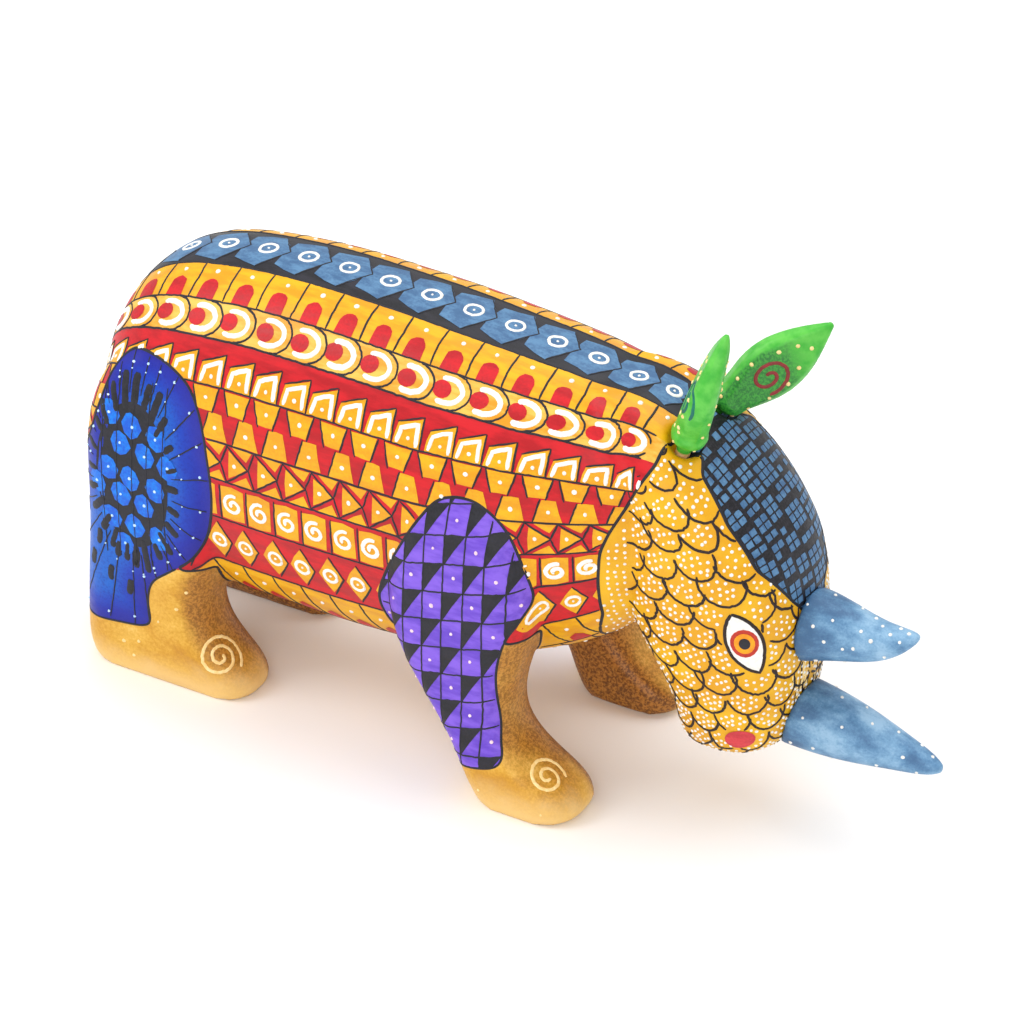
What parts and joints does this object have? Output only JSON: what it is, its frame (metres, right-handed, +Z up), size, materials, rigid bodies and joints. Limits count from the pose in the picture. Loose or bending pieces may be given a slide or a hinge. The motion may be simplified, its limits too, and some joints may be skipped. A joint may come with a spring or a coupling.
{
  "type": "alebrije figure",
  "caption": "Carved wooden rhinoceros with a lowered head, horns in line on the nose, leaf-shaped ears on pegs and a small tail, painted all over in fine bands, scales and dots.",
  "frame": {"origin": "middle of the bounding box in plan, on the plane that the feet stand on", "axes": "+X the way the animal faces, +Y its left side, +Z up"},
  "size_m": [0.2546, 0.0834, 0.149],
  "materials": {
    "body_paint": "hand-painted acrylic on sanded copal wood, satin",
    "horn_paint": "mottled blue-grey acrylic with white dots, satin",
    "ear_paint": "green acrylic with cream dots and a spiral, satin",
    "tail_paint": "green acrylic with cream dots, satin",
    "bare_wood": "bare whittled copal wood"
  },
  "bodies": {
    "figure": {"body": "body_paint", "rear_horn": "horn_paint", "front_horn": "horn_paint", "rear_horn_dowel": "bare_wood", "front_horn_dowel": "bare_wood"},
    "right_ear_peg": {"right_ear_peg": "bare_wood"},
    "right_ear": {"right_ear": "ear_paint"},
    "left_ear_peg": {"left_ear_peg": "bare_wood"},
    "left_ear": {"left_ear": "ear_paint"},
    "tail_peg": {"tail_peg": "bare_wood"},
    "tail": {"tail": "tail_paint"}
  },
  "joints": [
    {"name": "right_ear_draw", "type": "slide", "parent": "figure", "child": "right_ear_peg", "axis": [0.3011, -0.0201, 0.9534], "range_m": [0, 0.014]},
    {"name": "right_ear_turn", "type": "hinge", "parent": "right_ear_peg", "child": "right_ear", "pos_m": [0.05585, -0.011, 0.1142], "axis": [0.3011, -0.0201, 0.9534], "continuous": true},
    {"name": "left_ear_draw", "type": "slide", "parent": "figure", "child": "left_ear_peg", "axis": [0.6597, 0.3599, 0.6597], "range_m": [0, 0.014]},
    {"name": "left_ear_turn", "type": "hinge", "parent": "left_ear_peg", "child": "left_ear", "pos_m": [0.05485, 0.011, 0.1133], "axis": [0.6597, 0.3599, 0.6597], "continuous": true},
    {"name": "tail_draw", "type": "slide", "parent": "figure", "child": "tail_peg", "axis": [-1, 0, 0], "range_m": [0, 0.01]},
    {"name": "tail_turn", "type": "hinge", "parent": "tail_peg", "child": "tail", "pos_m": [-0.12375, 0, 0.074], "axis": [1, 0, 0], "continuous": true}
  ]
}
